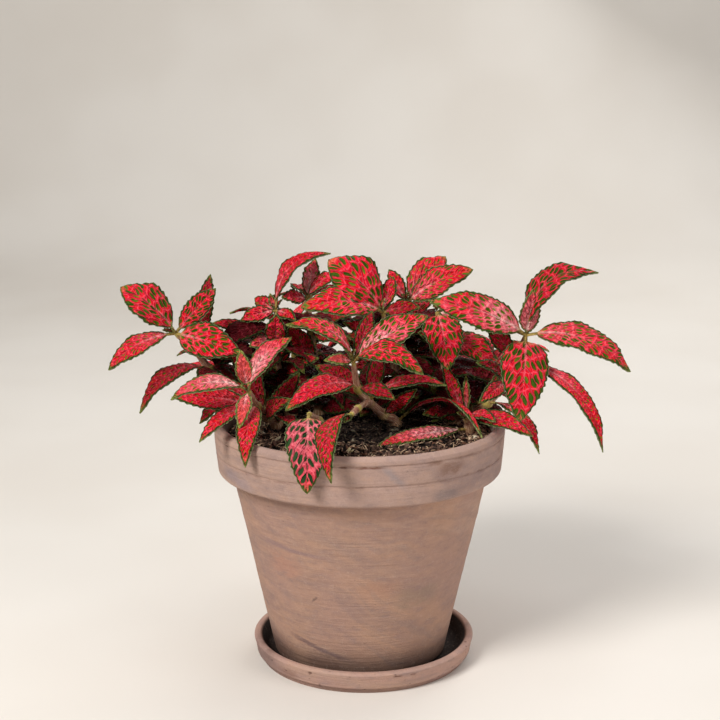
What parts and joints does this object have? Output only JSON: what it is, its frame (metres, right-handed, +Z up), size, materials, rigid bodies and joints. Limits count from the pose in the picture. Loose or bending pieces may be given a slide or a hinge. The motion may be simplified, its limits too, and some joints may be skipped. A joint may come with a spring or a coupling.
{
  "type": "potted nerve plant",
  "caption": "Bushy nerve plant with red, green-netted leaves, rooted in soil in a tapered clay pot with a banded rim, standing on a round clay saucer.",
  "frame": {"origin": "on the axis of the pot, at the level of the surface the saucer stands on", "axes": "+Z up; +X to the right and -Y towards the viewer of the picture"},
  "size_m": [0.2434, 0.1982, 0.2007],
  "materials": {
    "saucer_clay": "matt unglazed clay",
    "pot_clay": "matt unglazed clay with pale bloom and dark smears",
    "soil": "moist potting soil with fibres and white grains",
    "foliage": "red leaves with a green net and dark green toothed edge"
  },
  "bodies": {
    "root": {"saucer": "saucer_clay", "pot": "pot_clay", "soil": "soil", "shoot_far_left": "foliage", "shoot_front_left": "foliage", "shoot_left_back": "foliage", "shoot_back_mid": "foliage", "shoot_centre": "foliage", "shoot_front_low": "foliage", "shoot_top": "foliage", "shoot_top_right": "foliage", "shoot_mid_right": "foliage", "shoot_right": "foliage", "shoot_right_low": "foliage", "shoot_rear_right": "foliage", "shoot_rear_right_high": "foliage", "shoot_rear_middle": "foliage", "shoot_rear_left_high": "foliage", "shoot_rear_left": "foliage"}
  },
  "joints": []
}
